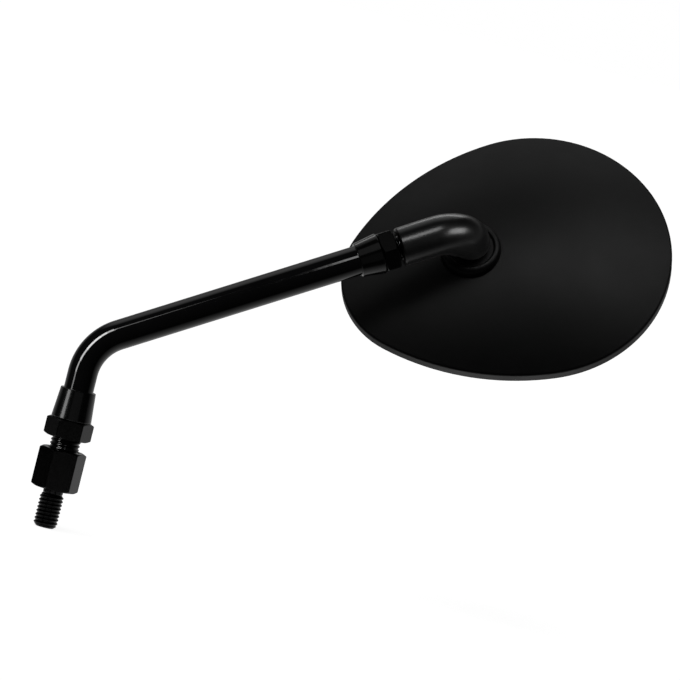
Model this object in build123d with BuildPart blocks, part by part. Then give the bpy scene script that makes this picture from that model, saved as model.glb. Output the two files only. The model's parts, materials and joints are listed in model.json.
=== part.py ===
from build123d import *
import os
from math import sin, cos, tan, radians, sqrt

os.makedirs("parts", exist_ok=True)

# ---------------------------------------------------------------- dimensions
# Motorcycle mirror, millimetres. The origin is on the stud's axis at the
# seat face of the base adapter. +Z runs up the stud's axis, the stem bends
# towards +X, and the back of the head looks towards -Y and up.

# base adapter: M8 stud below, M10 thread inside
stud_r = 4.0
stud_len = 13.0
stud_chamfer = 1.0
relief_r = 3.35
relief_len = 1.3
root_recess_r = 4.3       # undercut in the seat face round the stud's root, wider than the stud
adapter_af = 14.0
adapter_h = 13.5
adapter_bore_floor = 2.5
hex_chamfer = 0.75

# threads of the stem, and the running clearance of what turns on them
foot_thread_r = 5.0
top_thread_r = 4.0
thread_gap = 0.05

# lock nuts
low_nut_af = 14.0
low_nut_z0 = 17.5
low_nut_z1 = 23.75
low_nut_turn = -5.0
up_nut_af = 13.0
up_nut_s0 = 101.8
up_nut_s1 = 107.2
up_nut_turn = 7.0

# stem
rod_r = 5.0
corner_z = 49.7
bend_deg = 59.4
bend_r = 17.4
low_col_z1 = 34.0
low_col_r0 = 6.8
low_col_r1 = 5.95
up_col_s0 = 93.8
up_col_s1 = 101.75
up_col_r0 = 5.75
up_col_r1 = 6.95
foot_end_z = 3.6
top_end_s = 122.6

# elbow and ball
elbow_s0 = 108.5          # mouth, measured along the rod from the corner
ball_axis_s = 133.7       # where the stub's axis crosses the rod's axis
elbow_bend_r = 12.0
elbow_mouth_r = 6.5
elbow_mid_r = 6.75
elbow_end_r = 6.4
ball_r = 5.0
ball_neck_r = 3.0
roll_deg = 38.2           # the head's back looks this far up from -Y
spin_deg = -5.6           # the egg's axis against the rod's direction

# head, heights measured from the rim plane along the back's normal
axis_h = 31.9             # the rod's axis
elbow_end_h = 19.4
ball_h = 11.4
edge_h = 3.6              # where the side wall would meet the dome
edge_r = 1.0
dome_h = 16.3
ring_h = 18.5             # raised boss round the ball's opening
ring_od_r = 10.2
ring_bead_r = 1.8         # rounding of the boss's edge, outside
ring_lip_r = 0.35         # and inside
ring_dish_deg = 40.0      # slope of the shallow dish in its top, from its axis
ring_floor_h = 17.75

# egg outline: blunt arc, two side arcs and narrow arc, all tangent
egg_blunt_x = 22.0
egg_blunt_r = 46.8
egg_narrow_x = -14.6
egg_narrow_r = 30.0
egg_side_r = 87.0
egg_mid_x = 12.0

# inside the head
wall = 2.2
ledge_h = 3.5
ledge_inset = 6.5
glass_inset = 3.05
glass_t = 1.7
glass_radius = 1200.0
glass_back_h = 2.97       # just over the back of the glass at its rim
liner_in = 5.04
liner_out = 6.2
socket_r = 6.25
socket_bore_r = 6.6
boss_r = 9.2
boss_h = 7.8
post_pcd_r = 14.5
post_r = 3.2
plate_h0 = 4.5
plate_h1 = 5.6
screw_r = 1.5
screw_top_h = 11.0

# ---------------------------------------------------------------- frames
R_DIR = Vector(sin(radians(bend_deg)), 0, cos(radians(bend_deg)))
P_DIR = Vector(-cos(radians(bend_deg)), 0, sin(radians(bend_deg)))
N_DIR = Vector(0, -1, 0) * cos(radians(roll_deg)) + P_DIR * sin(radians(roll_deg))
CORNER = Vector(0, 0, corner_z)
Q_POINT = CORNER + R_DIR * ball_axis_s
A_DIR = R_DIR.rotate(Axis((0, 0, 0), N_DIR), spin_deg)
B_DIR = N_DIR.cross(A_DIR)
HEAD_O = Q_POINT - N_DIR * axis_h
BALL = HEAD_O + N_DIR * ball_h

# section plane of the stem (x outwards, y up) and of the rod's upper leg
STEM = Plane.XZ
ROD = Plane(origin=CORNER, x_dir=R_DIR, z_dir=R_DIR.cross(P_DIR))
ELBOW = Plane(origin=Q_POINT, x_dir=R_DIR, z_dir=R_DIR.cross(N_DIR))
HEAD = Plane(origin=HEAD_O, x_dir=A_DIR, z_dir=N_DIR)
HEAD_CUT = Plane(origin=HEAD_O, x_dir=A_DIR, z_dir=A_DIR.cross(N_DIR))
GLASS_O = HEAD_O + A_DIR * egg_mid_x
GLASS_CUT = Plane(origin=GLASS_O, x_dir=A_DIR, z_dir=A_DIR.cross(N_DIR))
STUD_AXIS = Axis((0, 0, 0), (0, 0, 1))
ROD_AXIS = Axis(CORNER, R_DIR)
HEAD_AXIS = Axis(HEAD_O, N_DIR)
GLASS_AXIS = Axis(GLASS_O, N_DIR)

print("ball centre", [round(v, 4) for v in BALL])
print("rod direction", [round(v, 6) for v in R_DIR])
print("back normal", [round(v, 6) for v in N_DIR])
print("egg axis", [round(v, 6) for v in A_DIR])
print("cross axis", [round(v, 6) for v in B_DIR])

# centre of the egg's side arcs, from the tangency of the four arcs
_d = egg_blunt_x - egg_narrow_x
_a = egg_side_r - egg_blunt_r
_b = egg_side_r - egg_narrow_r
_x = (_b * _b - _a * _a + _d * _d) / (2 * _d)
egg_side_x = egg_narrow_x + _x
egg_side_y = sqrt(_b * _b - _x * _x)


def egg(inset=0.0, scale=1.0):
    """Outline of the egg, moved inwards by inset and then shrunk about its
    middle; draws four tangent arcs in the current line."""
    rb, rn, rs = egg_blunt_r - inset, egg_narrow_r - inset, egg_side_r - inset
    ub = Vector(egg_blunt_x - egg_side_x, egg_side_y).normalized()
    un = Vector(egg_narrow_x - egg_side_x, egg_side_y).normalized()

    def put(x, y):
        return (egg_mid_x + scale * (x - egg_mid_x), scale * y)

    bu = (egg_side_x + rs * ub.X, -egg_side_y + rs * ub.Y)
    nu = (egg_side_x + rs * un.X, -egg_side_y + rs * un.Y)
    um = (ub + un).normalized()
    sm = (egg_side_x + rs * um.X, -egg_side_y + rs * um.Y)
    ThreePointArc(put(bu[0], -bu[1]), put(egg_blunt_x + rb, 0), put(*bu))
    ThreePointArc(put(*bu), put(*sm), put(*nu))
    ThreePointArc(put(*nu), put(egg_narrow_x - rn, 0), put(nu[0], -nu[1]))
    ThreePointArc(put(nu[0], -nu[1]), put(sm[0], -sm[1]), put(bu[0], -bu[1]))


def zone(r_in, r_out, deg0, deg1):
    """Section of a spherical zone about the ball's centre, between two
    angles from the back normal; draws it in the current line."""
    def at(r, deg):
        return (r * sin(radians(deg)), ball_h + r * cos(radians(deg)))

    mid = (deg0 + deg1) / 2
    ThreePointArc(at(r_in, deg0), at(r_in, mid), at(r_in, deg1))
    Line(at(r_in, deg1), at(r_out, deg1))
    ThreePointArc(at(r_out, deg1), at(r_out, mid), at(r_out, deg0))
    Line(at(r_out, deg0), at(r_in, deg0))


# ---------------------------------------------------------------- base
# hex body with the stud turned on it and a blind thread for the stem
with BuildPart() as base_adapter:
    with BuildSketch(Plane.XY):
        RegularPolygon(adapter_af / 2, 6, major_radius=False)
    extrude(amount=adapter_h)
    with BuildSketch(STEM):
        with BuildLine():
            Polyline(
                (0, 0),
                (adapter_af / 2 - 0.1, 0),
                (adapter_af / 2 - 0.1 + 2 * hex_chamfer, hex_chamfer),
                (adapter_af / 2 - 0.1 + 2 * hex_chamfer, adapter_h - hex_chamfer),
                (adapter_af / 2 - 0.1, adapter_h),
                (0, adapter_h),
                close=True,
            )
        make_face()
    revolve(axis=STUD_AXIS, mode=Mode.INTERSECT)
    with BuildSketch(STEM):
        with BuildLine():
            Polyline(
                (0, 1.5),
                (relief_r, 1.5),
                (relief_r, -relief_len),
                (stud_r, -relief_len - (stud_r - relief_r)),
                (stud_r, -stud_len + stud_chamfer),
                (stud_r - stud_chamfer, -stud_len),
                (0, -stud_len),
                close=True,
            )
        make_face()
    revolve(axis=STUD_AXIS)
    with BuildSketch(STEM):
        with BuildLine():
            Polyline((relief_r, 0), (root_recess_r, 0), (relief_r, root_recess_r - relief_r), close=True)
        make_face()
    revolve(axis=STUD_AXIS, mode=Mode.SUBTRACT)
    with BuildSketch(Plane.XY.offset(adapter_h)):
        Circle(foot_thread_r + thread_gap)
    extrude(amount=-(adapter_h - adapter_bore_floor), mode=Mode.SUBTRACT)
base_adapter.part.label = "base_adapter"
export_step(base_adapter.part, "parts/base_adapter.step")

# ---------------------------------------------------------------- lower nut
with BuildPart() as lower_lock_nut:
    with BuildSketch(Plane.XY.offset(low_nut_z0)):
        RegularPolygon(low_nut_af / 2, 6, major_radius=False, rotation=low_nut_turn)
        Circle(foot_thread_r + thread_gap, mode=Mode.SUBTRACT)
    extrude(amount=low_nut_z1 - low_nut_z0)
    with BuildSketch(STEM):
        with BuildLine():
            Polyline(
                (0, low_nut_z0),
                (low_nut_af / 2 - 0.1, low_nut_z0),
                (low_nut_af / 2 - 0.1 + 2 * hex_chamfer, low_nut_z0 + hex_chamfer),
                (low_nut_af / 2 - 0.1 + 2 * hex_chamfer, low_nut_z1 - hex_chamfer),
                (low_nut_af / 2 - 0.1, low_nut_z1),
                (0, low_nut_z1),
                close=True,
            )
        make_face()
    revolve(axis=STUD_AXIS, mode=Mode.INTERSECT)
lower_lock_nut.part.label = "lower_lock_nut"
export_step(lower_lock_nut.part, "parts/lower_lock_nut.step")

# ---------------------------------------------------------------- stem
# one bent rod: thick thread at the foot, thin thread at the top
bend_run = bend_r * tan(radians(bend_deg / 2))
with BuildPart() as stem_rod:
    with BuildLine(STEM) as stem_path:
        FilletPolyline(
            (0, low_nut_z1 + 0.05),
            (0, corner_z),
            (sin(radians(bend_deg)) * up_col_s1, corner_z + cos(radians(bend_deg)) * up_col_s1),
            radius=bend_r,
        )
    with BuildSketch(Plane.XY.offset(low_nut_z1 + 0.05)):
        Circle(rod_r)
    sweep(path=stem_path.wires()[0])
    with BuildSketch(STEM):
        with BuildLine():
            Polyline(
                (0, foot_end_z),
                (foot_thread_r - 1.0, foot_end_z),
                (foot_thread_r, foot_end_z + 1.0),
                (foot_thread_r, low_nut_z1 + 0.05),
                (0, low_nut_z1 + 0.05),
                close=True,
            )
        make_face()
    revolve(axis=STUD_AXIS)
    with BuildSketch(ROD):
        with BuildLine():
            Polyline(
                (up_col_s1 - 0.5, 0),
                (up_col_s1 - 0.5, top_thread_r),
                (top_end_s - 0.9, top_thread_r),
                (top_end_s, top_thread_r - 0.9),
                (top_end_s, 0),
                close=True,
            )
        make_face()
    revolve(axis=ROD_AXIS)
stem_rod.part.label = "stem_rod"
export_step(stem_rod.part, "parts/stem_rod.step")

# cone collars, pressed and bonded on the rod
with BuildPart() as lower_collar:
    with BuildSketch(STEM):
        with BuildLine():
            Polyline(
                (rod_r, low_nut_z1 + 0.05),
                (low_col_r0, low_nut_z1 + 0.05),
                (low_col_r1, low_col_z1),
                (rod_r, low_col_z1),
                close=True,
            )
        make_face()
    revolve(axis=STUD_AXIS)
    fillet(lower_collar.edges().filter_by(GeomType.CIRCLE).sort_by(SortBy.RADIUS)[-1], 0.35)
    fillet(
        lower_collar.edges().filter_by(GeomType.CIRCLE).group_by(Axis.Z)[-1].sort_by(SortBy.RADIUS)[-1],
        0.3,
    )
lower_collar.part.label = "lower_collar"
export_step(lower_collar.part, "parts/lower_collar.step")

with BuildPart() as upper_collar:
    with BuildSketch(ROD):
        with BuildLine():
            Polyline(
                (up_col_s0, rod_r),
                (up_col_s0, up_col_r0),
                (up_col_s1, up_col_r1),
                (up_col_s1, rod_r),
                close=True,
            )
        make_face()
    revolve(axis=ROD_AXIS)
    fillet(upper_collar.edges().filter_by(GeomType.CIRCLE).sort_by(SortBy.RADIUS)[-1], 0.35)
    fillet(
        upper_collar.edges().filter_by(GeomType.CIRCLE).sort_by(Axis(CORNER, R_DIR)).group_by(ROD_AXIS)[0].sort_by(SortBy.RADIUS)[-1],
        0.3,
    )
upper_collar.part.label = "upper_collar"
export_step(upper_collar.part, "parts/upper_collar.step")

# ---------------------------------------------------------------- upper nut
UP_NUT = Plane(origin=CORNER + R_DIR * up_nut_s0, x_dir=Vector(0, -1, 0), z_dir=R_DIR)
with BuildPart() as upper_lock_nut:
    with BuildSketch(UP_NUT):
        RegularPolygon(up_nut_af / 2, 6, major_radius=False, rotation=-up_nut_turn)
        Circle(top_thread_r + thread_gap, mode=Mode.SUBTRACT)
    extrude(amount=up_nut_s1 - up_nut_s0)
    with BuildSketch(ROD):
        with BuildLine():
            Polyline(
                (up_nut_s0, 0),
                (up_nut_s0, up_nut_af / 2 - 0.25),
                (up_nut_s0 + 0.95, up_nut_af / 2 + 1.4),
                (up_nut_s1 - 0.95, up_nut_af / 2 + 1.4),
                (up_nut_s1, up_nut_af / 2 - 0.25),
                (up_nut_s1, 0),
                close=True,
            )
        make_face()
    revolve(axis=ROD_AXIS, mode=Mode.INTERSECT)
upper_lock_nut.part.label = "upper_lock_nut"
export_step(upper_lock_nut.part, "parts/upper_lock_nut.step")

# ---------------------------------------------------------------- elbow
# a smooth tube that swells into the bend and narrows to the ball's shank
mouth_x = elbow_s0 - ball_axis_s


def elbow_plane(x, y, dx, dy):
    origin = Q_POINT + R_DIR * x + N_DIR * y
    return Plane(origin=origin, x_dir=N_DIR * dx - R_DIR * dy, z_dir=R_DIR * dx + N_DIR * dy)


elbow_sections = []
for f in (0.0, 0.2, 0.45, 0.7):
    x = mouth_x + f * (-elbow_bend_r - mouth_x)
    r = elbow_mouth_r + (elbow_mid_r - elbow_mouth_r) * sin(radians(90 * f)) * 0.9
    elbow_sections.append((x, 0.0, 1.0, 0.0, r, 0.0))
# the bend is filled on its inner side, so its sections are ovals there
for deg, r, fill in ((0, 6.73, 0.12), (18, 6.76, 0.5), (36, 6.79, 0.85), (54, 6.8, 0.85), (72, 6.72, 0.4)):
    elbow_sections.append((
        -elbow_bend_r + (elbow_bend_r - fill) * sin(radians(deg)),
        -elbow_bend_r + (elbow_bend_r - fill) * cos(radians(deg)),
        cos(radians(deg)),
        -sin(radians(deg)),
        r,
        fill,
    ))
elbow_sections.append((0.0, elbow_end_h - axis_h, 0.0, -1.0, elbow_end_r, 0.0))

with BuildPart() as elbow:
    for x, y, dx, dy, r, fill in elbow_sections:
        with BuildSketch(elbow_plane(x, y, dx, dy)):
            if fill > 0:
                Ellipse(r + fill, r)
            else:
                Circle(r)
    loft()
    fillet(elbow.edges().sort_by(ROD_AXIS)[0], 0.7)
    fillet(elbow.edges().sort_by(HEAD_AXIS)[0], 0.8)
    # bore for the rod's thread, and bore for the ball's shank
    with BuildSketch(elbow_plane(mouth_x, 0, 1, 0)):
        Circle(top_thread_r + thread_gap)
    extrude(amount=14.8, mode=Mode.SUBTRACT)
    with BuildSketch(elbow_plane(0, elbow_end_h - axis_h, 0, -1)):
        Circle(ball_neck_r)
    extrude(amount=-7.7, mode=Mode.SUBTRACT)
elbow.part.label = "elbow"
export_step(elbow.part, "parts/elbow.step")

# ball with its shank
with BuildPart() as ball_stud:
    with BuildSketch(HEAD_CUT):
        with BuildLine():
            _y = sqrt(ball_r**2 - ball_neck_r**2)
            Line((0, ball_h - ball_r), (0, elbow_end_h + 7.6))
            Line((0, elbow_end_h + 7.6), (ball_neck_r - 0.5, elbow_end_h + 7.6))
            Line((ball_neck_r - 0.5, elbow_end_h + 7.6), (ball_neck_r, elbow_end_h + 7.1))
            Line((ball_neck_r, elbow_end_h + 7.1), (ball_neck_r, ball_h + _y))
            ThreePointArc(
                (ball_neck_r, ball_h + _y), (ball_r, ball_h), (0, ball_h - ball_r)
            )
        make_face()
    revolve(axis=HEAD_AXIS)
ball_stud.part.label = "ball_stud"
export_step(ball_stud.part, "parts/ball_stud.step")

# ---------------------------------------------------------------- shell
# straight side wall, a dome whose level lines are shrunken copies of the
# outline, and a rounded edge between them
dome_steps = (1.0, 0.9, 0.8, 0.7, 0.6, 0.5, 0.4, 0.3, 0.2, 0.1, 0.03)

# the hollow behind the glass: an opening for glass and pad, a ledge, and an
# inner dome, with the ball's boss and three screw posts left standing in it
hollow_h = ledge_h + 0.9
hollow_sections = []
with BuildPart() as hollow:
    with BuildSketch(HEAD):
        with BuildLine():
            egg(wall)
        make_face()
    extrude(amount=ledge_h)
    with BuildSketch(HEAD.offset(ledge_h - 0.2)):
        with BuildLine():
            egg(ledge_inset)
        make_face()
    extrude(amount=hollow_h - ledge_h + 0.2)
    for s in dome_steps:
        with BuildSketch(HEAD.offset(hollow_h + (dome_h - wall - hollow_h) * (1 - s * s)), mode=Mode.PRIVATE) as sec:
            with BuildLine():
                egg(ledge_inset, s)
            make_face()
        hollow_sections.append(sec.sketch)
    loft(sections=hollow_sections)
    with BuildSketch(HEAD.offset(boss_h)):
        Circle(boss_r)
    extrude(amount=10, mode=Mode.SUBTRACT)
    with BuildSketch(HEAD.offset(plate_h1)):
        with PolarLocations(post_pcd_r, 3, start_angle=90):
            Circle(post_r)
    extrude(amount=12, mode=Mode.SUBTRACT)

with BuildPart() as shell:
    with BuildSketch(HEAD):
        with BuildLine():
            egg()
        make_face()
    extrude(amount=edge_h)
    dome_sections = []
    for s in dome_steps:
        with BuildSketch(HEAD.offset(edge_h + (dome_h - edge_h) * (1 - s * s)), mode=Mode.PRIVATE) as sec:
            with BuildLine():
                egg(0.0, s)
            make_face()
        dome_sections.append(sec.sketch)
    loft(sections=dome_sections)
    rim_edges = [e for e in shell.edges() if abs(HEAD.to_local_coords(e.center()).Z - edge_h) < 0.3 and e.length > 20]
    fillet(rim_edges, edge_r)
    # raised boss round the ball's opening, with a rounded edge and a dished top
    with BuildSketch(HEAD_CUT):
        with BuildLine():
            cup_x = ring_od_r - ring_bead_r
            cup_y = ring_h - ring_bead_r
            lip_x = cup_x - ring_lip_r * cos(radians(ring_dish_deg))
            lip_y = ring_h - ring_lip_r + ring_lip_r * sin(radians(ring_dish_deg))
            foot_x = lip_x - (lip_y - ring_floor_h) * tan(radians(ring_dish_deg))
            over = radians(135 - ring_dish_deg / 2)
            Polyline((0, 12.6), (ring_od_r + 0.4, 12.6), (ring_od_r, cup_y))
            ThreePointArc(
                (ring_od_r, cup_y),
                (cup_x + ring_bead_r * cos(radians(45)), cup_y + ring_bead_r * sin(radians(45))),
                (cup_x, ring_h),
            )
            ThreePointArc(
                (cup_x, ring_h),
                (cup_x + ring_lip_r * cos(over), ring_h - ring_lip_r + ring_lip_r * sin(over)),
                (lip_x, lip_y),
            )
            Polyline((lip_x, lip_y), (foot_x, ring_floor_h), (0, ring_floor_h), (0, 12.6))
        make_face()
    revolve(axis=HEAD_AXIS)
    add(hollow.part, mode=Mode.SUBTRACT)
    with BuildSketch(HEAD.offset(plate_h1)):
        with PolarLocations(post_pcd_r, 3, start_angle=90):
            Circle(screw_r)
    extrude(amount=screw_top_h + 0.4 - plate_h1, mode=Mode.SUBTRACT)
    # socket: half sphere above, straight bore below, flared way out on top
    with BuildSketch(HEAD_CUT):
        with BuildLine():
            Polyline((0, boss_h - 0.5), (socket_bore_r, boss_h - 0.5), (socket_bore_r, ball_h), (socket_r, ball_h))
            ThreePointArc(
                (socket_r, ball_h),
                (socket_r * sin(radians(45)), ball_h + socket_r * cos(radians(45))),
                (0, ball_h + socket_r),
            )
            Line((0, ball_h + socket_r), (0, boss_h - 0.5))
        make_face()
    revolve(axis=HEAD_AXIS, mode=Mode.SUBTRACT)
    with BuildSketch(HEAD_CUT):
        with BuildLine():
            Polyline((0, 14.0), (4.6, 14.0), (4.6, 15.7), (5.2, ring_floor_h + 0.1), (0, ring_floor_h + 0.1), close=True)
        make_face()
    revolve(axis=HEAD_AXIS, mode=Mode.SUBTRACT)
shell.part.label = "shell"
export_step(shell.part, "parts/shell.step")

# ---------------------------------------------------------------- ball seat
with BuildPart() as seat_liner:
    with BuildSketch(HEAD_CUT):
        with BuildLine():
            zone(liner_in, liner_out, 54.0, 84.0)
        make_face()
    revolve(axis=HEAD_AXIS)
seat_liner.part.label = "seat_liner"
export_step(seat_liner.part, "parts/seat_liner.step")

with BuildPart() as pressure_cup:
    with BuildSketch(HEAD_CUT):
        with BuildLine():
            zone(liner_in, liner_out, 98.0, 138.0)
        make_face()
    revolve(axis=HEAD_AXIS)
pressure_cup.part.label = "pressure_cup"
export_step(pressure_cup.part, "parts/pressure_cup.step")

# conical spring washer between cup and plate
with BuildPart() as clamp_spring:
    with BuildSketch(HEAD_CUT):
        with BuildLine():
            Polyline((5.2, 7.2), (5.2, 7.8), (8.6, 6.22), (8.6, 5.62), close=True)
        make_face()
    revolve(axis=HEAD_AXIS)
clamp_spring.part.label = "clamp_spring"
export_step(clamp_spring.part, "parts/clamp_spring.step")

# plate with three rounded corners
with BuildPart() as clamp_plate:
    with BuildSketch(HEAD.offset(plate_h0)):
        with PolarLocations(post_pcd_r, 3, start_angle=90):
            Circle(4.2)
        make_hull()
        Circle(4.6, mode=Mode.SUBTRACT)
        with PolarLocations(post_pcd_r, 3, start_angle=90):
            Circle(screw_r + 0.15, mode=Mode.SUBTRACT)
    extrude(amount=plate_h1 - plate_h0)
clamp_plate.part.label = "clamp_plate"
export_step(clamp_plate.part, "parts/clamp_plate.step")

with BuildPart() as screw_washers:
    with BuildSketch(HEAD.offset(plate_h0 - 0.5)):
        with PolarLocations(post_pcd_r, 3, start_angle=90):
            Circle(3.0)
            Circle(screw_r + 0.1, mode=Mode.SUBTRACT)
    extrude(amount=0.5)
screw_washers.part.label = "screw_washers"
export_step(screw_washers.part, "parts/screw_washers.step")

# pan-head screws with a cross recess, heads towards the glass
with BuildPart() as clamp_screws:
    with BuildSketch(HEAD.offset(plate_h0 - 0.5)):
        with PolarLocations(post_pcd_r, 3, start_angle=90):
            Circle(2.7)
    extrude(amount=-1.25)
    fillet(clamp_screws.faces().group_by(Axis(HEAD_O, N_DIR))[0].edges(), 0.5)
    with BuildSketch(HEAD.offset(plate_h0 - 0.5)):
        with PolarLocations(post_pcd_r, 3, start_angle=90):
            Circle(screw_r)
    extrude(amount=screw_top_h - plate_h0 + 0.5)
    with BuildSketch(HEAD.offset(plate_h0 - 0.5 - 1.25)):
        with PolarLocations(post_pcd_r, 3, start_angle=90):
            Rectangle(2.8, 0.7)
            Rectangle(0.7, 2.8)
    extrude(amount=0.7, mode=Mode.SUBTRACT)
clamp_screws.part.label = "clamp_screws"
export_step(clamp_screws.part, "parts/clamp_screws.step")

# ---------------------------------------------------------------- glass
# convex glass, bulging away from the shell
with BuildPart() as mirror_glass:
    with BuildSketch(GLASS_CUT):
        with BuildLine():
            _w = 62.0
            _f = glass_radius - sqrt(glass_radius**2 - _w**2)
            _fm = glass_radius - sqrt(glass_radius**2 - (_w / 2) ** 2)
            ThreePointArc((0, 0), (_w / 2, _fm), (_w, _f))
            Line((_w, _f), (_w, _f + glass_t))
            ThreePointArc((_w, _f + glass_t), (_w / 2, _fm + glass_t), (0, glass_t))
            Line((0, glass_t), (0, 0))
        make_face()
    revolve(axis=GLASS_AXIS)
    with BuildSketch(HEAD.offset(-1)):
        with BuildLine():
            egg(glass_inset)
        make_face()
    extrude(amount=10, mode=Mode.INTERSECT)
mirror_glass.part.label = "mirror_glass"
export_step(mirror_glass.part, "parts/mirror_glass.step")

# foam ring between the glass and the shell's ledge
with BuildPart() as glass_pad:
    with BuildSketch(HEAD.offset(glass_back_h)):
        with BuildLine():
            egg(3.1)
        make_face()
        with BuildLine():
            egg(6.4)
        make_face(mode=Mode.SUBTRACT)
    extrude(amount=ledge_h - 0.02 - glass_back_h)
glass_pad.part.label = "glass_pad"
export_step(glass_pad.part, "parts/glass_pad.step")

# rubber ring round the glass, with a lip over its edge
with BuildPart() as rim_gasket:
    with BuildSketch(HEAD.offset(0.6)):
        with BuildLine():
            egg(wall + 0.02)
        make_face()
        with BuildLine():
            egg(3.0)
        make_face(mode=Mode.SUBTRACT)
    extrude(amount=ledge_h - 0.62)
    with BuildSketch(HEAD.offset(0.05)):
        with BuildLine():
            egg(wall + 0.02)
        make_face()
        with BuildLine():
            egg(4.0)
        make_face(mode=Mode.SUBTRACT)
    extrude(amount=0.55)
rim_gasket.part.label = "rim_gasket"
export_step(rim_gasket.part, "parts/rim_gasket.step")
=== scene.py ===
"""Looks of the motorcycle mirror: threads, hexes, painted metal, moulded shell and convex glass.

Lengths in the modelling part are in millimetres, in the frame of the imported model,
and are turned into metres where a mesh is made.
"""

import json
import math

import bmesh
import bpy
from mathutils import Matrix, Vector

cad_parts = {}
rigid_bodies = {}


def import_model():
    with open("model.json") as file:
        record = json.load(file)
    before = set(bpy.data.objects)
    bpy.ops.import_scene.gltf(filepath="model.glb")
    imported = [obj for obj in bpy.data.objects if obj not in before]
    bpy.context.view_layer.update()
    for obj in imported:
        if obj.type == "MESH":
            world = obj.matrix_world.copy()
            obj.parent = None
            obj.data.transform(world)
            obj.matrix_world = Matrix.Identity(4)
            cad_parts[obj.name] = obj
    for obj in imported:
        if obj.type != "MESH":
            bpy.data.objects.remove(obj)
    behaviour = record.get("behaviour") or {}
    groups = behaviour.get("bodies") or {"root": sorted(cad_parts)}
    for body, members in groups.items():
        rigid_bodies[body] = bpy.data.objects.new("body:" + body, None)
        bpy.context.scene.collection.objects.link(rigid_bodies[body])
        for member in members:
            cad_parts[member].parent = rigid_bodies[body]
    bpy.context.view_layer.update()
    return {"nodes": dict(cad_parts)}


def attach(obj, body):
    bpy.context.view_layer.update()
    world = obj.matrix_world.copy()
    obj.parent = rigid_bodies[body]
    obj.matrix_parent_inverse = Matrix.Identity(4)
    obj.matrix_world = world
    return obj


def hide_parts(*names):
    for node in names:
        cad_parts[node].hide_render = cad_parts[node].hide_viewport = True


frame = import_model()
NODES = frame["nodes"]
MM = 0.001

# ------------------------------------------------------------------ the frame
BEND = math.radians(59.4)
ORIGIN = Vector((0, 0, 0))
UP = Vector((0, 0, 1))
X = Vector((1, 0, 0))
ROD = Vector((math.sin(BEND), 0, math.cos(BEND)))
RISE = Vector((-math.cos(BEND), 0, math.sin(BEND)))
CORNER = Vector((0, 0, 49.7))
ELBOW = CORNER + ROD * 133.7
BACK = Vector((0, -1, 0)) * math.cos(math.radians(38.2)) + RISE * math.sin(math.radians(38.2))
EGG = Matrix.Rotation(math.radians(-5.6), 3, BACK) @ ROD
CROSS = BACK.cross(EGG)
HEAD = ELBOW - BACK * 31.9
BALL = ELBOW - BACK * 20.5


# ------------------------------------------------------------------ mesh tools
class Skin:
    """Vertices in millimetres and faces, collected piece by piece."""

    def __init__(self):
        self.verts = []
        self.faces = []

    def ring(self, points):
        start = len(self.verts)
        self.verts.extend(points)
        return list(range(start, len(self.verts)))

    def skin(self, rings, closed=True):
        for a, b in zip(rings, rings[1:]):
            n = len(a)
            for i in range(n if closed else n - 1):
                j = (i + 1) % n
                self.faces.append((a[i], a[j], b[j], b[i]))

    def cap(self, ring, centre):
        c = self.ring([centre])[0]
        n = len(ring)
        for i in range(n):
            self.faces.append((ring[i], ring[(i + 1) % n], c))


def square_to(z, x):
    z = z.normalized()
    x = (x - z * x.dot(z)).normalized()
    return x, z.cross(x), z


def circle(o, z, x, r, h, n, turn=0.0):
    ex, ey, ez = square_to(z, x)
    out = []
    for i in range(n):
        a = turn + 2 * math.pi * i / n
        out.append(o + ez * h + ex * (r * math.cos(a)) + ey * (r * math.sin(a)))
    return out


def soften(points, radii, steps=4):
    """Rounds the inner corners of a 2-D line with true arcs, always with the same number of points."""
    out = [points[0]]
    for k in range(1, len(points) - 1):
        p = Vector(points[k])
        a = Vector(points[k - 1]) - p
        b = Vector(points[k + 1]) - p
        la, lb = a.length, b.length
        r = radii[k] if isinstance(radii, (list, tuple)) else radii
        if r <= 0:
            out.append(tuple(p))
            continue
        if la < 1e-6 or lb < 1e-6:
            out.extend([tuple(p)] * (steps + 1))
            continue
        turn = math.pi - a.angle(b)
        t = min(r * math.tan(turn / 2), 0.46 * la, 0.46 * lb)
        pa = p + a * (t / la)
        pb = p + b * (t / lb)
        w = math.cos(turn / 2)
        for i in range(steps + 1):
            u = i / steps
            q = (pa * (1 - u) ** 2 + p * (2 * u * (1 - u) * w) + pb * u**2) / ((1 - u) ** 2 + 2 * u * (1 - u) * w + u**2)
            out.append(tuple(q))
    out.append(points[-1])
    return out


def lathe(s, o, z, x, profile, n=96):
    """Turned form; a point with radius 0 at an end closes it."""
    rings = [s.ring(circle(o, z, x, r, h, n)) for r, h in profile if r > 1e-6]
    s.skin(rings)
    ez = z.normalized()
    if profile[0][0] <= 1e-6:
        s.cap(rings[0], o + ez * profile[0][1])
    if profile[-1][0] <= 1e-6:
        s.cap(rings[-1], o + ez * profile[-1][1])
    return rings


# one turn of a painted thread, as (part of the pitch, part of the depth): the paint fills the root and rounds the crest
THREAD = ((0.00, 0.08), (0.06, 0.0), (0.14, 0.0), (0.20, 0.08), (0.46, 0.86), (0.53, 1.0), (0.67, 1.0), (0.74, 0.86))
THREAD_DEPTH = 0.33


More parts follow.
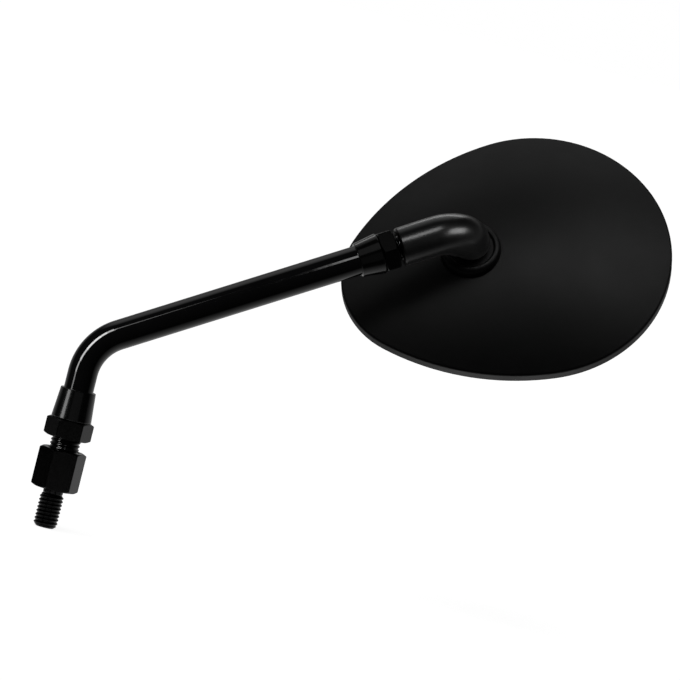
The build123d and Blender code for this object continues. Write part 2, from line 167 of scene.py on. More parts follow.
def thread(s, o, z, x, h0, h1, r_out, pitch, r_end0, r_end1, n=96, slope=1.0):
    """Outside thread as one helical skin. Returns its first and last ring, circles of r_end0 and r_end1."""
    ex, ey, ez = square_to(z, x)
    depth = THREAD_DEPTH * pitch
    k_turn = len(THREAD)
    rows = k_turn * (int(math.ceil((h1 - h0) / pitch)) + 3)
    index = []
    for i in range(n):
        a = 2 * math.pi * i / n
        d = ex * math.cos(a) + ey * math.sin(a)
        column = []
        for k in range(rows):
            f, part = THREAD[k % k_turn]
            h = h0 - pitch + (k // k_turn + f + i / n) * pitch
            h = min(max(h, h0), h1)
            r = r_out - depth + depth * part
            r = min(r, r_end0 + (h - h0) * slope, r_end1 + (h1 - h) * slope)
            column.append(o + ez * h + d * r)
        index.append(s.ring(column))
    for i in range(n):
        j = (i + 1) % n
        shift = k_turn if j == 0 else 0
        for k in range(rows - 1 - shift):
            s.faces.append((index[i][k], index[j][k + shift], index[j][k + 1 + shift], index[i][k + 1]))
    return [c[0] for c in index], [c[-1] for c in index]


def hex_columns(flats, corner, turn, n_flat=12, n_corner=4):
    """Outline of a hexagon with rounded corners, as (radius, angle), starting at a corner's middle."""
    ap = flats / 2
    pts = []
    for j in range(6):
        v = turn + math.radians(60 * j)
        c = (ap - corner) / math.cos(math.radians(30))
        cx, cy = c * math.cos(v), c * math.sin(v)
        arc = []
        for i in range(n_corner + 1):
            a = v + math.radians(-30 + 60 * i / n_corner)
            arc.append((cx + corner * math.cos(a), cy + corner * math.sin(a)))
        v2 = turn + math.radians(60 * (j + 1))
        c2x, c2y = c * math.cos(v2), c * math.sin(v2)
        a2 = v2 - math.radians(30)
        nx = (c2x + corner * math.cos(a2), c2y + corner * math.sin(a2))
        pts.extend(arc)
        last = arc[-1]
        for i in range(1, n_flat):
            u = i / n_flat
            u = u * u * (3 - 2 * u) * 0.35 + u * 0.65
            pts.append((last[0] + (nx[0] - last[0]) * u, last[1] + (nx[1] - last[1]) * u))
    k = n_corner // 2
    pts = pts[k:] + pts[:k]
    return [(math.hypot(px, py), math.atan2(py, px)) for px, py in pts]


def hex_body(s, o, z, x, flats, h0, h1, face_r, slope, bore_r, turn, soft=0.16, corner=0.3, mouth=0.5, floor=None):
    """Hexagon with curved corner chamfers on both faces, soft edges and a threaded bore's mouth.

    With floor, the bore is blind and the lower face is left open at its inner ring, which is returned."""
    ex, ey, ez = square_to(z, x)
    cols = hex_columns(flats, corner, turn)
    n = len(cols)
    face_rows = []
    for r_edge, _ in cols:
        drop = max(0.02, (r_edge - face_r) / slope)
        line = [
            (face_r - 0.5, h1),
            (face_r, h1),
            (r_edge, h1 - drop),
            (r_edge, h0 + drop),
            (face_r, h0),
            (face_r - 0.5, h0),
        ]
        face_rows.append(soften(line, [0, 0.35, soft, soft, 0.35, 0], 4))
    rows = len(face_rows[0])
    rings = []
    for k in range(rows):
        pts = []
        for c, (_, a) in enumerate(cols):
            r, h = face_rows[c][k]
            pts.append(o + ez * h + (ex * math.cos(a) + ey * math.sin(a)) * r)
        rings.append(s.ring(pts))
    top = [s.ring(circle(o, z, x, r, h, n, turn)) for r, h in soften(
        [(bore_r, floor if floor is not None else (h0 + h1) / 2), (bore_r, h1 - mouth), (bore_r + mouth, h1), (face_r - 0.5, h1)],
        [0, 0, 0.12, 0], 3)[:-1]]
    s.skin(top + rings)
    if floor is not None:
        s.cap(top[0], o + ez * floor)
        return rings[-1], n
    low = [s.ring(circle(o, z, x, r, h, n, turn)) for r, h in soften(
        [(face_r - 0.5, h0), (bore_r + mouth, h0), (bore_r, h0 + mouth), (bore_r, (h0 + h1) / 2)], [0, 0.12, 0, 0], 3)[1:]]
    s.skin([rings[-1]] + low)
    s.skin([low[-1], top[0]])
    return None, n


METAL_PIECES = []


def piece(name, s, node, body, material, sharp=38.0, weighted=True):
    """Makes the object, in metres, and lets it stand for its node."""
    mesh = bpy.data.meshes.new(name)
    mesh.from_pydata([tuple(v * MM) for v in s.verts], [], s.faces)
    bm = bmesh.new()
    bm.from_mesh(mesh)
    bmesh.ops.remove_doubles(bm, verts=bm.verts, dist=2e-7)
    bmesh.ops.dissolve_degenerate(bm, edges=bm.edges, dist=2e-7)
    loose = [v for v in bm.verts if not v.link_faces]
    bmesh.ops.delete(bm, geom=loose, context="VERTS")
    bmesh.ops.recalc_face_normals(bm, faces=bm.faces)
    for f in bm.faces:
        f.smooth = True
    bm.to_mesh(mesh)
    bm.free()
    mesh.set_sharp_from_angle(angle=math.radians(sharp))
    mesh.materials.append(material)
    o = bpy.data.objects.new(name, mesh)
    bpy.context.scene.collection.objects.link(o)
    if weighted:
        m = o.modifiers.new("flat faces stay flat", "WEIGHTED_NORMAL")
        m.keep_sharp = True
        m.weight = 60
    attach(o, body)
    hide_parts(node)
    METAL_PIECES.append(o)
    return o


# ------------------------------------------------------------------ materials
class Mat:
    """Small helper for a node material around one Principled shader."""

    def __init__(self, name):
        self.m = bpy.data.materials.new(name)
        self.m.use_nodes = True
        t = self.m.node_tree
        t.nodes.clear()
        self.t = t
        self.out = t.nodes.new("ShaderNodeOutputMaterial")
        self.b = t.nodes.new("ShaderNodeBsdfPrincipled")
        t.links.new(self.b.outputs["BSDF"], self.out.inputs["Surface"])
        self.co = t.nodes.new("ShaderNodeTexCoord").outputs["Object"]

    def set(self, **values):
        for k, v in values.items():
            self.b.inputs[k.replace("_", " ")].default_value = v
        return self

    def link(self, a, b):
        self.t.links.new(a, b)

    def scaled(self, sx, sy, sz):
        n = self.t.nodes.new("ShaderNodeMapping")
        n.inputs["Scale"].default_value = (sx, sy, sz)
        self.link(self.co, n.inputs["Vector"])
        return n.outputs["Vector"]

    def noise(self, scale, detail=3.0, rough=0.5, vector=None, distortion=0.0):
        n = self.t.nodes.new("ShaderNodeTexNoise")
        n.inputs["Scale"].default_value = scale
        n.inputs["Detail"].default_value = detail
        n.inputs["Roughness"].default_value = rough
        n.inputs["Distortion"].default_value = distortion
        self.link(vector or self.co, n.inputs["Vector"])
        return n.outputs["Fac"]

    def cells(self, scale, vector=None, feature="F1", smooth=None):
        n = self.t.nodes.new("ShaderNodeTexVoronoi")
        n.feature = feature
        n.inputs["Scale"].default_value = scale
        self.link(vector or self.co, n.inputs["Vector"])
        return n.outputs["Distance"]

    def spread(self, fac, lo, hi, a=0.3, b=0.7):
        n = self.t.nodes.new("ShaderNodeMapRange")
        n.inputs["From Min"].default_value = a
        n.inputs["From Max"].default_value = b
        n.inputs["To Min"].default_value = lo
        n.inputs["To Max"].default_value = hi
        self.link(fac, n.inputs["Value"])
        return n.outputs["Result"]

    def ramp(self, fac, *stops):
        n = self.t.nodes.new("ShaderNodeValToRGB")
        e = n.color_ramp.elements
        while len(e) < len(stops):
            e.new(0.5)
        for el, (p, c) in zip(e, stops):
            el.position = p
            el.color = (c[0], c[1], c[2], 1.0)
        self.link(fac, n.inputs["Fac"])
        return n.outputs["Color"]

    def math(self, op, a, b):
        n = self.t.nodes.new("ShaderNodeMath")
        n.operation = op
        for i, v in enumerate((a, b)):
            if isinstance(v, (int, float)):
                n.inputs[i].default_value = v
            else:
                self.link(v, n.inputs[i])
        return n.outputs[0]

    def worn(self, lo, hi):
        """0 to 1 on the convex edges of a dense mesh."""
        g = self.t.nodes.new("ShaderNodeNewGeometry")
        return self.spread(g.outputs["Pointiness"], 0.0, 1.0, lo, hi)

    def colour(self, socket):
        self.link(socket, self.b.inputs["Base Color"])
        return self

    def rough(self, socket):
        self.link(socket, self.b.inputs["Roughness"])
        return self

    def bump(self, height, strength, distance):
        n = self.t.nodes.new("ShaderNodeBump")
        n.inputs["Strength"].default_value = strength
        n.inputs["Distance"].default_value = distance
        self.link(height, n.inputs["Height"])
        prev = self.b.inputs["Normal"].links
        if prev:
            self.link(prev[0].from_socket, n.inputs["Normal"])
        self.link(n.outputs["Normal"], self.b.inputs["Normal"])
        return self


def gloss_paint(name, dark, light, r_lo, r_hi, peel, coat_rough):
    """Smooth sprayed lacquer: a faint orange peel, and a clear coat that carries the sharp reflections."""
    m = Mat(name)
    m.set(IOR=1.5, Coat_Weight=1.0, Coat_IOR=1.5)
    m.b.inputs["Coat Roughness"].default_value = coat_rough
    m.colour(m.ramp(m.noise(90, 4, 0.6), (0.3, dark), (0.72, light)))
    m.rough(m.spread(m.noise(420, 3, 0.6), r_lo, r_hi))
    peel_h = m.noise(330, 2, 0.45)
    m.bump(peel_h, peel, 0.0003)
    n = m.b.inputs["Normal"].links[0].from_socket
    m.link(n, m.b.inputs["Coat Normal"])
    return m.m


def satin_paint(name, dark, light, r_lo, r_hi, grain, wear):
    """Thin black finish on machined steel: fine grain, and a trace of wear on the sharpest edges."""
    m = Mat(name)
    m.set(IOR=1.5)
    base = m.ramp(m.noise(160, 5, 0.62), (0.28, dark), (0.75, light))
    mix = m.t.nodes.new("ShaderNodeMix")
    mix.data_type = "RGBA"
    mix.inputs["B"].default_value = (0.05, 0.05, 0.052, 1)
    m.link(base, mix.inputs["A"])
    edge = m.math("MULTIPLY", m.worn(0.53, 0.62), m.spread(m.noise(900, 3, 0.6), 0.0, wear, 0.42, 0.66))
    m.link(edge, mix.inputs["Factor"])
    m.colour(mix.outputs["Result"])
    m.rough(m.spread(m.noise(700, 4, 0.62), r_lo, r_hi))
    m.bump(m.noise(3200, 3, 0.55), grain, 0.00004)
    m.bump(m.noise(420, 2, 0.5), 0.10, 0.0001)
    return m.m


def shell_plastic(name):
    """Moulded black plastic with a fine spark-eroded grain and a slight haze."""
    m = Mat(name)
    m.set(IOR=1.48)
    m.colour(m.ramp(m.noise(38, 5, 0.6, distortion=0.4), (0.25, (0.0062, 0.0065, 0.0066)), (0.75, (0.0092, 0.0096, 0.0096))))
    m.rough(m.spread(m.noise(60, 5, 0.65), 0.40, 0.47))
    m.bump(m.noise(2600, 4, 0.6), 0.16, 0.00005)
    m.bump(m.cells(1500, feature="SMOOTH_F1"), 0.10, 0.00005)
    return m.m


def rubber(name):
    m = Mat(name)
    m.set(IOR=1.5)
    m.colour(m.ramp(m.noise(140, 4, 0.6), (0.3, (0.009, 0.009, 0.009)), (0.75, (0.016, 0.016, 0.0155))))
    m.rough(m.spread(m.noise(300, 3, 0.6), 0.62, 0.82))
    m.bump(m.noise(1800, 3, 0.6), 0.25, 0.00006)
    return m.m


def foam(name):
    m = Mat(name)
    m.colour(m.ramp(m.cells(900), (0.15, (0.012, 0.012, 0.013)), (0.7, (0.045, 0.045, 0.047))))
    m.rough(m.spread(m.noise(500, 3, 0.6), 0.82, 0.97))
    m.bump(m.cells(900), 0.6, 0.0003)
    return m.m


def nylon(name):
    m = Mat(name)
    m.set(IOR=1.53)
    m.colour(m.ramp(m.noise(120, 4, 0.6), (0.3, (0.62, 0.61, 0.57)), (0.75, (0.74, 0.73, 0.69))))
    m.rough(m.spread(m.noise(400, 3, 0.6), 0.34, 0.46))
    m.bump(m.noise(1500, 3, 0.5), 0.06, 0.00005)
    return m.m


def zinc(name, dark, light, r_lo, r_hi):
    m = Mat(name)
    m.set(Metallic=1.0)
    m.colour(m.ramp(m.noise(260, 5, 0.65, distortion=0.3), (0.3, dark), (0.72, light)))
    m.rough(m.spread(m.noise(800, 4, 0.65), r_lo, r_hi))
    m.bump(m.noise(2400, 3, 0.6), 0.12, 0.00003)
    return m.m


def mirror(name):
    """Silvered glass: bright metal, with a trace of finger haze in the roughness."""
    m = Mat(name)
    m.set(Metallic=1.0, Coat_Weight=1.0, Coat_IOR=1.5)
    m.b.inputs["Coat Roughness"].default_value = 0.01
    m.colour(m.ramp(m.noise(30, 4, 0.6), (0.3, (0.80, 0.82, 0.835)), (0.75, (0.85, 0.865, 0.875))))
    haze = m.math("MULTIPLY", m.spread(m.noise(38, 5, 0.65, distortion=0.6), 0.0, 1.0, 0.30, 0.80),
                  m.spread(m.noise(420, 3, 0.6), 0.3, 1.0))
    m.rough(m.spread(haze, 0.012, 0.035, 0.0, 1.0))
    return m.m


stem_paint = gloss_paint("stem_gloss_black", (0.0030, 0.0030, 0.0032), (0.0048, 0.0048, 0.0051), 0.04, 0.07, 0.02, 0.03)
collar_paint = gloss_paint("collar_gloss_black", (0.0095, 0.0098, 0.0098), (0.0140, 0.0143, 0.0143), 0.20, 0.28, 0.03, 0.09)
elbow_paint = gloss_paint("elbow_satin_gloss_black", (0.0050, 0.0051, 0.0052), (0.0076, 0.0077, 0.0078), 0.30, 0.36, 0.05, 0.24)
nut_paint = satin_paint("nut_satin_black", (0.0040, 0.0040, 0.0042), (0.0070, 0.0070, 0.0073), 0.14, 0.20, 0.16, 0.5)
adapter_paint = satin_paint("adapter_satin_black", (0.0032, 0.0032, 0.0034), (0.0058, 0.0058, 0.0061), 0.15, 0.21, 0.18, 0.4)
plastic = shell_plastic("shell_grained_black")
gasket = rubber("gasket_rubber_black")
pad = foam("pad_black_foam")
seat = nylon("seat_natural_nylon")
plated = zinc("zinc_plated_steel", (0.44, 0.44, 0.43), (0.62, 0.62, 0.60), 0.24, 0.38)
sprung = zinc("oiled_spring_steel", (0.20, 0.195, 0.19), (0.34, 0.33, 0.32), 0.22, 0.34)
ball_black = zinc("blackened_ball_steel", (0.035, 0.035, 0.037), (0.08, 0.08, 0.083), 0.22, 0.34)
glass = mirror("silvered_glass")

# ------------------------------------------------------------------ base adapter
N = 96
s = Skin()
low, n = hex_body(s, ORIGIN, UP, X, 14.0, 0.0, 13.5, 6.9, 2.0, 5.05, 0.0, soft=0.22, corner=0.35, mouth=0.55, floor=2.5)
root = [s.ring(circle(ORIGIN, UP, X, r, h, n)) for r, h in soften(
    [(6.4, 0), (4.3, 0), (3.35, 0.95), (3.35, -1.3), (3.23, -1.62)], [0, 0.15, 0, 0.2, 0], 3)[1:]]
s.skin([low] + root)
# the stud's thread runs down from the relief to the chamfered tip
top, tip = thread(s, ORIGIN, -UP, X, 1.65, 13.0, 4.0, 1.25, 3.2, 3.0, n=n)
order = [top[(-i) % n] for i in range(n)]
s.skin([root[-1], order])
s.cap(tip, Vector((0, 0, -13.0)))
piece("base_adapter_turned", s, "base_adapter", "base", adapter_paint)

# ------------------------------------------------------------------ nuts
s = Skin()
hex_body(s, ORIGIN, UP, X, 14.0, 17.5, 23.75, 6.9, 2.0, 5.05, math.radians(-5), soft=0.24, corner=0.4, mouth=0.4)
piece("lower_nut_hex", s, "lower_lock_nut", "lower_nut", nut_paint)
s = Skin()
hex_body(s, CORNER, ROD, Vector((0, -1, 0)), 13.0, 101.8, 107.2, 6.25, 1.737, 4.05, math.radians(-7.0), soft=0.3, corner=0.45, mouth=0.4)
piece("upper_nut_hex", s, "upper_lock_nut", "upper_nut", nut_paint)

# ------------------------------------------------------------------ stem
s = Skin()
side = Vector((0, 1, 0))
foot0, foot1 = thread(s, ORIGIN, UP, X, 3.6, 23.75, 5.0, 1.25, 4.05, 4.2, n=N)
s.cap(foot0, Vector((0, 0, 3.6)))
rod_r = 5.0
rings = [foot1, s.ring(circle(ORIGIN, UP, X, rod_r, 23.8, N)), s.ring(circle(ORIGIN, UP, X, rod_r, 34.5, N))]
bend_r = 17.4
tangent = bend_r * math.tan(BEND / 2)
centre = Vector((bend_r, 0, CORNER.z - tangent))
STEPS = 56
for i in range(STEPS + 1):
    a = BEND * i / STEPS
    out = Vector((-math.cos(a), 0, math.sin(a)))
    along = Vector((math.sin(a), 0, math.cos(a)))
    o = centre + out * bend_r
    rings.append(s.ring(circle(o, along, -out, rod_r, 0, N)))
for h in (30.0, 60.0, 92.0, 101.2):
    rings.append(s.ring(circle(CORNER, ROD, -RISE, rod_r, h, N)))
top0, top1 = thread(s, CORNER, ROD, -RISE, 101.3, 122.6, 4.0, 1.25, 3.2, 3.1, n=N)
rings.append(top0)
s.skin(rings)
s.cap(top1, CORNER + ROD * 122.6)
piece("stem_bent_rod", s, "stem_rod", "stem", stem_paint)

# ------------------------------------------------------------------ collars
s = Skin()
prof = soften([(5.01, 28.0), (5.01, 23.8), (6.8, 23.8), (5.95, 34.0), (5.01, 34.0), (5.01, 28.0)], [0, 0.12, 0.35, 0.3, 0.1, 0], 7)
rings = lathe(s, ORIGIN, UP, X, prof[:-1], N)
s.skin([rings[-1], rings[0]])
piece("lower_collar_turned", s, "lower_collar", "stem", collar_paint)
s = Skin()
prof = soften([(5.01, 98.0), (5.01, 93.8), (5.75, 93.8), (6.95, 101.75), (5.01, 101.75), (5.01, 98.0)], [0, 0.1, 0.35, 0.3, 0.1, 0], 7)
rings = lathe(s, CORNER, ROD, -RISE, prof[:-1], N)
s.skin([rings[-1], rings[0]])
piece("upper_collar_turned", s, "upper_collar", "stem", collar_paint)

# ------------------------------------------------------------------ elbow
REACH = 25.2      # from the mouth to the line of the ball stub
STRAIGHT = REACH - 12.0
STATIONS = []
for f in (0.0, 0.2, 0.45, 0.7):
    STATIONS.append((f * STRAIGHT, 6.5 + 0.225 * math.sin(math.radians(90 * f)), 0.0))
# radius, and how far the bend is filled on its inner side
for d, r, fill in ((0, 6.73, 0.12), (18, 6.76, 0.5), (36, 6.79, 0.85), (54, 6.8, 0.85), (72, 6.72, 0.4)):
    STATIONS.append((STRAIGHT + 12 * math.radians(d), r, fill))
ARC_END = STRAIGHT + 12 * math.pi / 2
LENGTH = ARC_END + 0.5
STATIONS.append((LENGTH, 6.4, 0.0))


def elbow_r(u, k=1):
    """Smooth radius (or fill, with k = 2) through the stations, slopes from neighbours."""
    t = STATIONS
    slopes = []
    for i in range(len(t)):
        a, b = t[max(i - 1, 0)], t[min(i + 1, len(t) - 1)]
        slopes.append((b[k] - a[k]) / (b[0] - a[0]))
    for i in range(len(t) - 1):
        if u <= t[i + 1][0] + 1e-9:
            w = t[i + 1][0] - t[i][0]
            q = (u - t[i][0]) / w
            h00, h10 = 2 * q**3 - 3 * q**2 + 1, q**3 - 2 * q**2 + q
            h01, h11 = -2 * q**3 + 3 * q**2, q**3 - q**2
            return h00 * t[i][k] + h10 * w * slopes[i] + h01 * t[i + 1][k] + h11 * w * slopes[i + 1]
    return t[-1][k]


def elbow_at(u):
    """Centre and direction of the elbow's middle line."""
    if u <= STRAIGHT:
        return ELBOW + ROD * (u - REACH), ROD
    if u <= ARC_END:
        a = (u - STRAIGHT) / 12
        return (ELBOW + ROD * (-12 + 12 * math.sin(a)) + BACK * (-12 + 12 * math.cos(a)),
                ROD * math.cos(a) - BACK * math.sin(a))
    return ELBOW + BACK * (-12 - (u - ARC_END)), -BACK


s = Skin()
rows = []
mouth_r, end_r = 0.7, 0.8
for h, r in soften([(14.8, 4.05), (0.35, 4.05), (0.0, 4.4), (0.0, 5.0)], [0, 0, 0.05, 0], 3)[:-1]:
    rows.append((h, r))
for i in range(11):
    a = math.radians(90 * i / 10)
    u = mouth_r * (1 - math.cos(a))
    rows.append((u, elbow_r(u) - mouth_r + mouth_r * math.sin(a)))
steps = 110
for i in range(1, steps):
    rows.append((mouth_r + (LENGTH - mouth_r - end_r) * i / steps, None))
for i in range(9):
    a = math.radians(90 * i / 8)
    u = LENGTH - end_r + end_r * math.sin(a)
    rows.append((u, elbow_r(u) - end_r + end_r * math.cos(a)))
rows.append((LENGTH, 3.1))
rows.append((LENGTH - 0.1, 3.0))
rows.append((LENGTH - 7.7, 3.0))
across = ROD.cross(BACK)
rings = []
for k, (u, r) in enumerate(rows):
    o, d = elbow_at(u)
    # the ends are straight, so a bore's ring is centred on its own end's line
    if k < 8:
        o, d = ELBOW + ROD * (u - REACH), ROD
    if k >= len(rows) - 3:
        o, d = ELBOW + BACK * (-12 - (u - ARC_END)), -BACK
    ring = circle(o, d, d.cross(across), elbow_r(u) if r is None else r, 0, N)
    if r is None:
        # the oval grows to the inner side only
        fill = max(0.0, elbow_r(u, 2))
        ex = d.cross(across).normalized()
        wide = (elbow_r(u) + fill) / elbow_r(u)
        ring = [p + ex * (fill + (p - o).dot(ex) * (wide - 1)) for p in ring]
    rings.append(s.ring(ring))
s.skin(rings)
s.cap(rings[0], ELBOW + ROD * (14.8 - REACH))
s.cap(rings[-1], ELBOW + BACK * (-12 - (LENGTH - 7.7 - ARC_END)))
piece("elbow_cast", s, "elbow", "elbow", elbow_paint)

# ------------------------------------------------------------------ pieces kept from the model
KEPT = {
    "ball_stud": ball_black,
    "shell": plastic,
    "seat_liner": seat,
    "pressure_cup": seat,
    "clamp_spring": sprung,
    "clamp_plate": plated,
    "clamp_screws": plated,
    "screw_washers": plated,
    "glass_pad": pad,
    "rim_gasket": gasket,
}
for node, material in KEPT.items():
    o = NODES[node]
    o.data.materials.clear()
    o.data.materials.append(material)
# the glass keeps its shape, but one normal at the middle of its dome leans, so its normals are worked out again
bpy.context.view_layer.update()
s = Skin()
node = NODES["mirror_glass"]
s.verts = [node.matrix_world @ v.co / MM for v in node.data.vertices]
s.faces = [tuple(f.vertices) for f in node.data.polygons]
mirror_piece = piece("mirror_glass_domed", s, "mirror_glass", "head", glass)

# ------------------------------------------------------------------ camera
RIGHT = Vector((0.9533, -0.1774, 0.2445))
TOWARD = Vector((-0.1989, -0.9778, 0.0662)).normalized()
RIGHT = (RIGHT - TOWARD * RIGHT.dot(TOWARD)).normalized()
TOP = TOWARD.cross(RIGHT)
cam_data = bpy.data.cameras.new("camera")
cam_data.sensor_width = 36.0
cam_data.lens = 285.88
cam_data.clip_start = 0.05
cam_data.clip_end = 200.0
cam = bpy.data.objects.new("camera", cam_data)
bpy.context.scene.collection.objects.link(cam)
place = Matrix((RIGHT, TOP, TOWARD)).transposed().to_4x4()
place.translation = Vector((-0.2769, -1.7621, 0.1895))
cam.matrix_world = place
bpy.context.scene.camera = cam

# ------------------------------------------------------------------ floor
floor_mesh = bpy.data.meshes.new("floor")
bm = bmesh.new()
bmesh.ops.create_grid(bm, x_segments=8, y_segments=8, size=30.0)
bm.to_mesh(floor_mesh)
bm.free()
floor = bpy.data.objects.new("floor", floor_mesh)
floor.location = (0, 0, -0.01301)
bpy.context.scene.collection.objects.link(floor)
fm = Mat("floor_pale")
fm.set(Emission_Strength=0.90)
fm.b.inputs["Emission Color"].default_value = (1, 1, 1, 1)
fm.b.inputs["Specular IOR Level"].default_value = 0.0
fm.colour(fm.ramp(fm.noise(6, 3, 0.5), (0.3, (0.60, 0.60, 0.60)), (0.7, (0.62, 0.62, 0.62))))
fm.rough(fm.spread(fm.noise(30, 3, 0.5), 0.9, 1.0))
floor_mesh.materials.append(fm.m)
# the pale floor is for the eye: what the parts mirror and bounce comes from the studio's gradient
floor.visible_glossy = False
floor.visible_diffuse = False

# ------------------------------------------------------------------ light
world = bpy.data.worlds.new("studio")
bpy.context.scene.world = world
world.use_nodes = True
wt = world.node_tree
wt.nodes.clear()
w_out = wt.nodes.new("ShaderNodeOutputWorld")
w_mix = wt.nodes.new("ShaderNodeMixShader")
w_white = wt.nodes.new("ShaderNodeBackground")
w_white.inputs["Color"].default_value = (1, 1, 1, 1)
w_white.inputs["Strength"].default_value = 1.0
w_room = wt.nodes.new("ShaderNodeBackground")
w_path = wt.nodes.new("ShaderNodeLightPath")
w_co = wt.nodes.new("ShaderNodeTexCoord")
w_room.inputs["Color"].default_value = (1, 1, 1, 1)


def sky(direction, start, end, top, smooth):
    """Brightness that grows with the nearness to a fixed direction."""
    dot = wt.nodes.new("ShaderNodeVectorMath")
    dot.operation = "DOT_PRODUCT"
    dot.inputs[1].default_value = direction
    ramp = wt.nodes.new("ShaderNodeMapRange")
    ramp.interpolation_type = "SMOOTHSTEP" if smooth else "LINEAR"
    ramp.inputs["From Min"].default_value = start
    ramp.inputs["From Max"].default_value = end
    ramp.inputs["To Min"].default_value = 0.002
    ramp.inputs["To Max"].default_value = top
    wt.links.new(w_co.outputs["Generated"], dot.inputs[0])
    wt.links.new(dot.outputs["Value"], ramp.inputs["Value"])
    return ramp.outputs["Result"]


# the white table side behind the head, and the white sweep beyond it
SWEEP = (TOP * 0.94 - TOWARD * 0.34).normalized()
w_add = wt.nodes.new("ShaderNodeMath")
w_add.operation = "ADD"
wt.links.new(sky(-BACK, 0.05, 1.0, 0.36, False), w_add.inputs[0])
wt.links.new(sky(SWEEP, 0.86, 1.0, 0.30, True), w_add.inputs[1])
wt.links.new(w_add.outputs[0], w_room.inputs["Strength"])
wt.links.new(w_path.outputs["Is Camera Ray"], w_mix.inputs["Fac"])
wt.links.new(w_room.outputs["Background"], w_mix.inputs[1])
wt.links.new(w_white.outputs["Background"], w_mix.inputs[2])
wt.links.new(w_mix.outputs["Shader"], w_out.inputs["Surface"])

MIDDLE = Vector((0.085, 0.02, 0.085))


def group(name, objects):
    c = bpy.data.collections.new(name)
    for o in objects:
        c.objects.link(o)
    return c


PART = {o.name: o for o in METAL_PIECES}
STEM = group("stem", [PART["stem_bent_rod"]])
FOOT = group("foot", [PART["lower_nut_hex"], PART["base_adapter_turned"]])
FOOT_COLLAR = group("foot_collar", [PART["lower_collar_turned"]])
TOP_END = group("top_end", [PART["upper_collar_turned"], PART["upper_nut_hex"]])
CASTING = group("casting", [PART["elbow_cast"], NODES["ball_stud"]])
HEAD_SIDE = group("head_side", [NODES[n] for n in KEPT if n != "ball_stud"])
FOOT_END = group("foot_end", list(FOOT.objects) + list(FOOT_COLLAR.objects))
GLASS_SIDE = group("glass_side", [mirror_piece, NODES["rim_gasket"]])
STAGE = group("stage", [floor])


def aim(v):
    """A direction as the camera sees it (right, up, toward it), in the frame's axes."""
    return (RIGHT * v[0] + TOP * v[1] + TOWARD * v[2]).normalized()


def soft_box(name, look, along, distance, length, width, radiance, on):
    """Rectangular light, placed by its direction from the object, that lights one group of pieces."""
    d = aim(look)
    data = bpy.data.lights.new(name, "AREA")
    data.shape = "RECTANGLE"
    data.size = length
    data.size_y = width
    data.energy = radiance * math.pi * length * width
    o = bpy.data.objects.new(name, data)
    bpy.context.scene.collection.objects.link(o)
    ex = aim(along)
    ex = (ex - d * ex.dot(d)).normalized()
    m = Matrix((ex, d.cross(ex), d)).transposed().to_4x4()
    m.translation = MIDDLE + d * distance
    o.matrix_world = m
    o.visible_camera = False
    o.light_linking.receiver_collection = on
    return o



# a strip that follows the bend from the foot up to the straight, in lengths that overlap; points in metres from MIDDLE
STRIP = ((-1.051, 0.081, 0.746), (-0.795, 0.545, 0.824), (-0.502, 0.801, 0.794), (-0.222, 0.912, 0.793), (-0.0995, 0.872, 0.848))


def on_strip(u):
    k = min(max(int(math.floor(u)), 0), len(STRIP) - 2)
    return Vector(STRIP[k]).lerp(Vector(STRIP[k + 1]), u - k)


# from, to, width and radiance of each length
LENGTHS = (
    (-0.25, 0.50, 0.18, 2.0),
    (0.00, 1.00, 0.22, 2.6),
    (0.50, 1.50, 0.30, 4.3),
    (1.00, 2.00, 0.32, 4.8),
    (1.50, 2.50, 0.30, 4.6),
    (2.00, 3.00, 0.26, 3.9),
    (2.50, 3.60, 0.20, 1.8),
    (3.20, 3.80, 0.18, 1.3),
    (3.40, 4.00, 0.18, 0.12),
)
for k, (u0, u1, width, radiance) in enumerate(LENGTHS):
    p0, p1 = on_strip(u0), on_strip(u1)
    middle = (p0 + p1) / 2
    soft_box("strip_%d" % k, middle, p1 - p0, middle.length, (p1 - p0).length, width, radiance, STEM)
# the thin line at the top of the straight, that fades in along it
ROD_SEEN = (0.945, 0.297, -0.1375)
for k, (start, radiance) in enumerate(((0.113, 0.36), (0.121, 0.42), (0.129, 1.25))):
    middle = Vector((start, 0.640 - (start - 0.111) * 0.55, 1.045)) + Vector(ROD_SEEN) * 0.1
    soft_box("line_%d" % k, middle, ROD_SEEN, middle.length, 0.20, 0.32, radiance, STEM)
# the foot and the top of the stem: a box for the collar's streak, one behind for the upper collar's edge, and faint fills
soft_box("foot_box", (-0.800, 0.225, 0.556), (0.0, 0.92, -0.38), 1.2, 0.60, 0.34, 2.6, FOOT_COLLAR)
soft_box("collar_fill", (0.15, -0.05, 0.98), (1, 0.01, 0), 1.3, 1.30, 1.00, 0.045, FOOT_COLLAR)
soft_box("foot_fill", (0.05, 0.05, 0.99), (1, 0.01, 0), 1.3, 1.60, 1.20, 0.030, FOOT)
soft_box("facet_box", (0.66, -0.22, -0.71), (0.0, 1.0, 0.0), 1.2, 0.90, 0.70, 0.13, FOOT)
soft_box("top_box", (-0.320, 0.760, -0.560), ROD_SEEN, 1.2, 0.40, 0.25, 0.9, TOP_END)
soft_box("top_fill", (-0.10, 0.65, 0.75), (1, 0.01, 0), 1.3, 1.10, 0.90, 0.11, TOP_END)
soft_box("top_front", (0.15, -0.25, 0.95), (1, 0.01, 0), 1.3, 1.20, 1.00, 0.025, TOP_END)
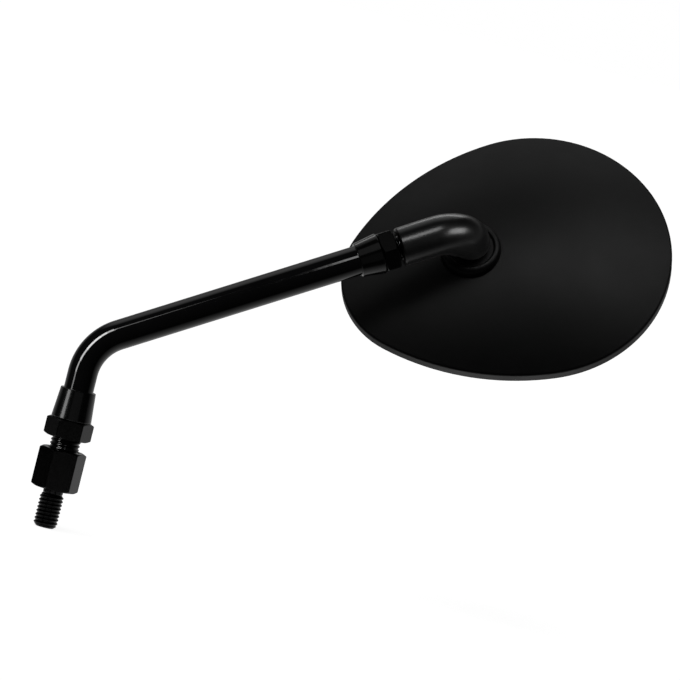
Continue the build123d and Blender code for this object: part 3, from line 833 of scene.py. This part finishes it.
# the elbow: a box on the right for the bend, one in front for the mouth, a thin one behind for its upper edge, a faint one below
soft_box("bend_box", (0.795, 0.170, 0.583), (0.55, -0.12, -0.83), 1.2, 0.66, 0.50, 3.6, CASTING)
soft_box("mouth_box", (0.085, 0.600, 0.795), ROD_SEEN, 1.2, 0.30, 0.32, 3.9, CASTING)
soft_box("edge_box", (0.100, 0.780, -0.620), ROD_SEEN, 1.2, 0.75, 0.30, 1.3, CASTING)
under = soft_box("under_box", (0.480, -0.700, -0.530), (1.0, 0.01, 0.0), 1.2, 1.50, 0.80, 0.65, CASTING)
# the head stands between this one and the elbow, so only the elbow shades it
under.light_linking.blocker_collection = CASTING
soft_box("rim_box", (0.02, -0.90, -0.43), (1.0, 0.01, 0.0), 1.3, 1.30, 0.50, 0.75, HEAD_SIDE)
# what the pale room gives back: from the floor and from above to the glass, and in a low ring to the sides of the foot
DOWN = (-RIGHT.z, -TOP.z, -TOWARD.z)
soft_box("glass_glow", DOWN, (1.0, 0.01, 0.0), 0.5, 12.0, 12.0, 0.34, GLASS_SIDE)
soft_box("glass_sky", (RIGHT.z, TOP.z, TOWARD.z), (1.0, 0.01, 0.0), 0.5, 12.0, 12.0, 0.30, GLASS_SIDE)
for k in range(6):
    turn = math.radians(60 * k + 15)
    flat = Vector((math.cos(turn), math.sin(turn), 0))
    low = flat * math.cos(math.radians(25)) - Vector((0, 0, math.sin(math.radians(25))))
    tangent = Vector((-flat.y, flat.x, 0))
    soft_box("foot_ring_%d" % k, [low.dot(a) for a in (RIGHT, TOP, TOWARD)],
             [tangent.dot(a) for a in (RIGHT, TOP, TOWARD)], 1.2, 1.0, 0.5, 0.35, FOOT_END)
# a soft dome of panels for the head: brightest from above on the right, faint from the left
DOME = (
    ((-0.60, 0.30, 0.74), 0.16),
    ((-0.30, 0.55, 0.78), 0.48),
    ((0.00, 0.55, 0.84), 0.18),
    ((0.60, 0.55, 0.58), 0.52),
    ((-0.60, 0.75, 0.28), 0.44),
    ((0.00, 0.75, 0.66), 0.46),
    ((0.30, 0.75, 0.59), 0.83),
    ((0.60, 0.75, 0.28), 0.84),
    ((-0.40, 0.88, -0.24), 0.24),
    ((0.40, 0.88, -0.24), 0.24),
)
for k, (look, radiance) in enumerate(DOME):
    soft_box("dome_%d" % k, look, (1, 0.01, 0), 1.3, 0.55, 0.45, radiance, HEAD_SIDE)
sun = bpy.data.lights.new("floor_light", "SUN")
sun.energy = 0.6
sun.angle = math.radians(50)
sun_o = bpy.data.objects.new("floor_light", sun)
sun_o.rotation_euler = (math.radians(14), math.radians(-18), 0)
bpy.context.scene.collection.objects.link(sun_o)
sun_o.light_linking.receiver_collection = STAGE

scene = bpy.context.scene
scene.view_settings.view_transform = "Standard"
scene.view_settings.look = "None"
scene.view_settings.exposure = 0.0
scene.view_settings.gamma = 1.0
